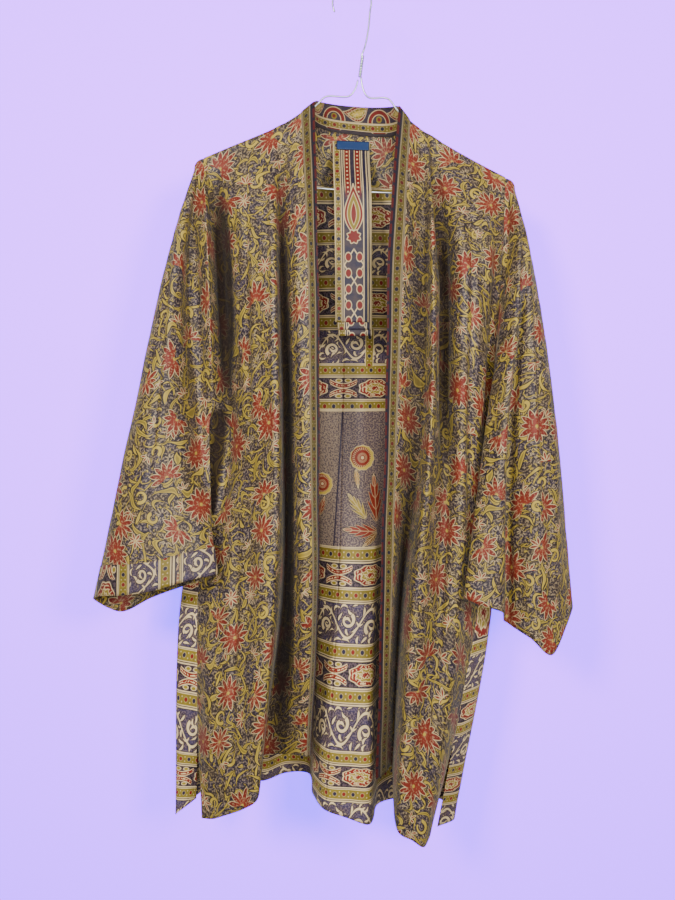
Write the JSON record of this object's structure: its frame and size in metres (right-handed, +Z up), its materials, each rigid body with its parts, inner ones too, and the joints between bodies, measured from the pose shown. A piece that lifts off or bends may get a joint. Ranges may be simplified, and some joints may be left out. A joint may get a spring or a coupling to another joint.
{
  "type": "short kimono jacket on a wire hanger",
  "caption": "Open-fronted short kimono with wide sleeves and a folded belt, hanging on a bent wire hanger.",
  "frame": {"origin": "inside top of the hanger's hook, where a rail carries it", "axes": "+Z up, the garment's front faces -Y, +X is the wearer's left"},
  "size_m": [0.6446, 0.1955, 1.1405],
  "materials": {
    "printed_cloth": "soft silky sheen, all-over print",
    "border_cloth": "soft silky sheen, border print",
    "label_weave": "satin weave, blank",
    "steel_wire": "galvanised"
  },
  "bodies": {
    "root": {"right_back_panel": "printed_cloth", "left_back_panel": "printed_cloth", "right_front_panel": "printed_cloth", "left_front_panel": "printed_cloth", "right_front_band": "border_cloth", "left_front_band": "border_cloth", "neck_band": "border_cloth", "right_sleeve": "printed_cloth", "right_cuff_band": "border_cloth", "left_sleeve": "printed_cloth", "belt": "border_cloth", "neck_label": "label_weave", "hanger_hook": "steel_wire", "hanger_right_arm": "steel_wire", "hanger_left_arm": "steel_wire", "hanger_bar": "steel_wire"}
  },
  "joints": []
}
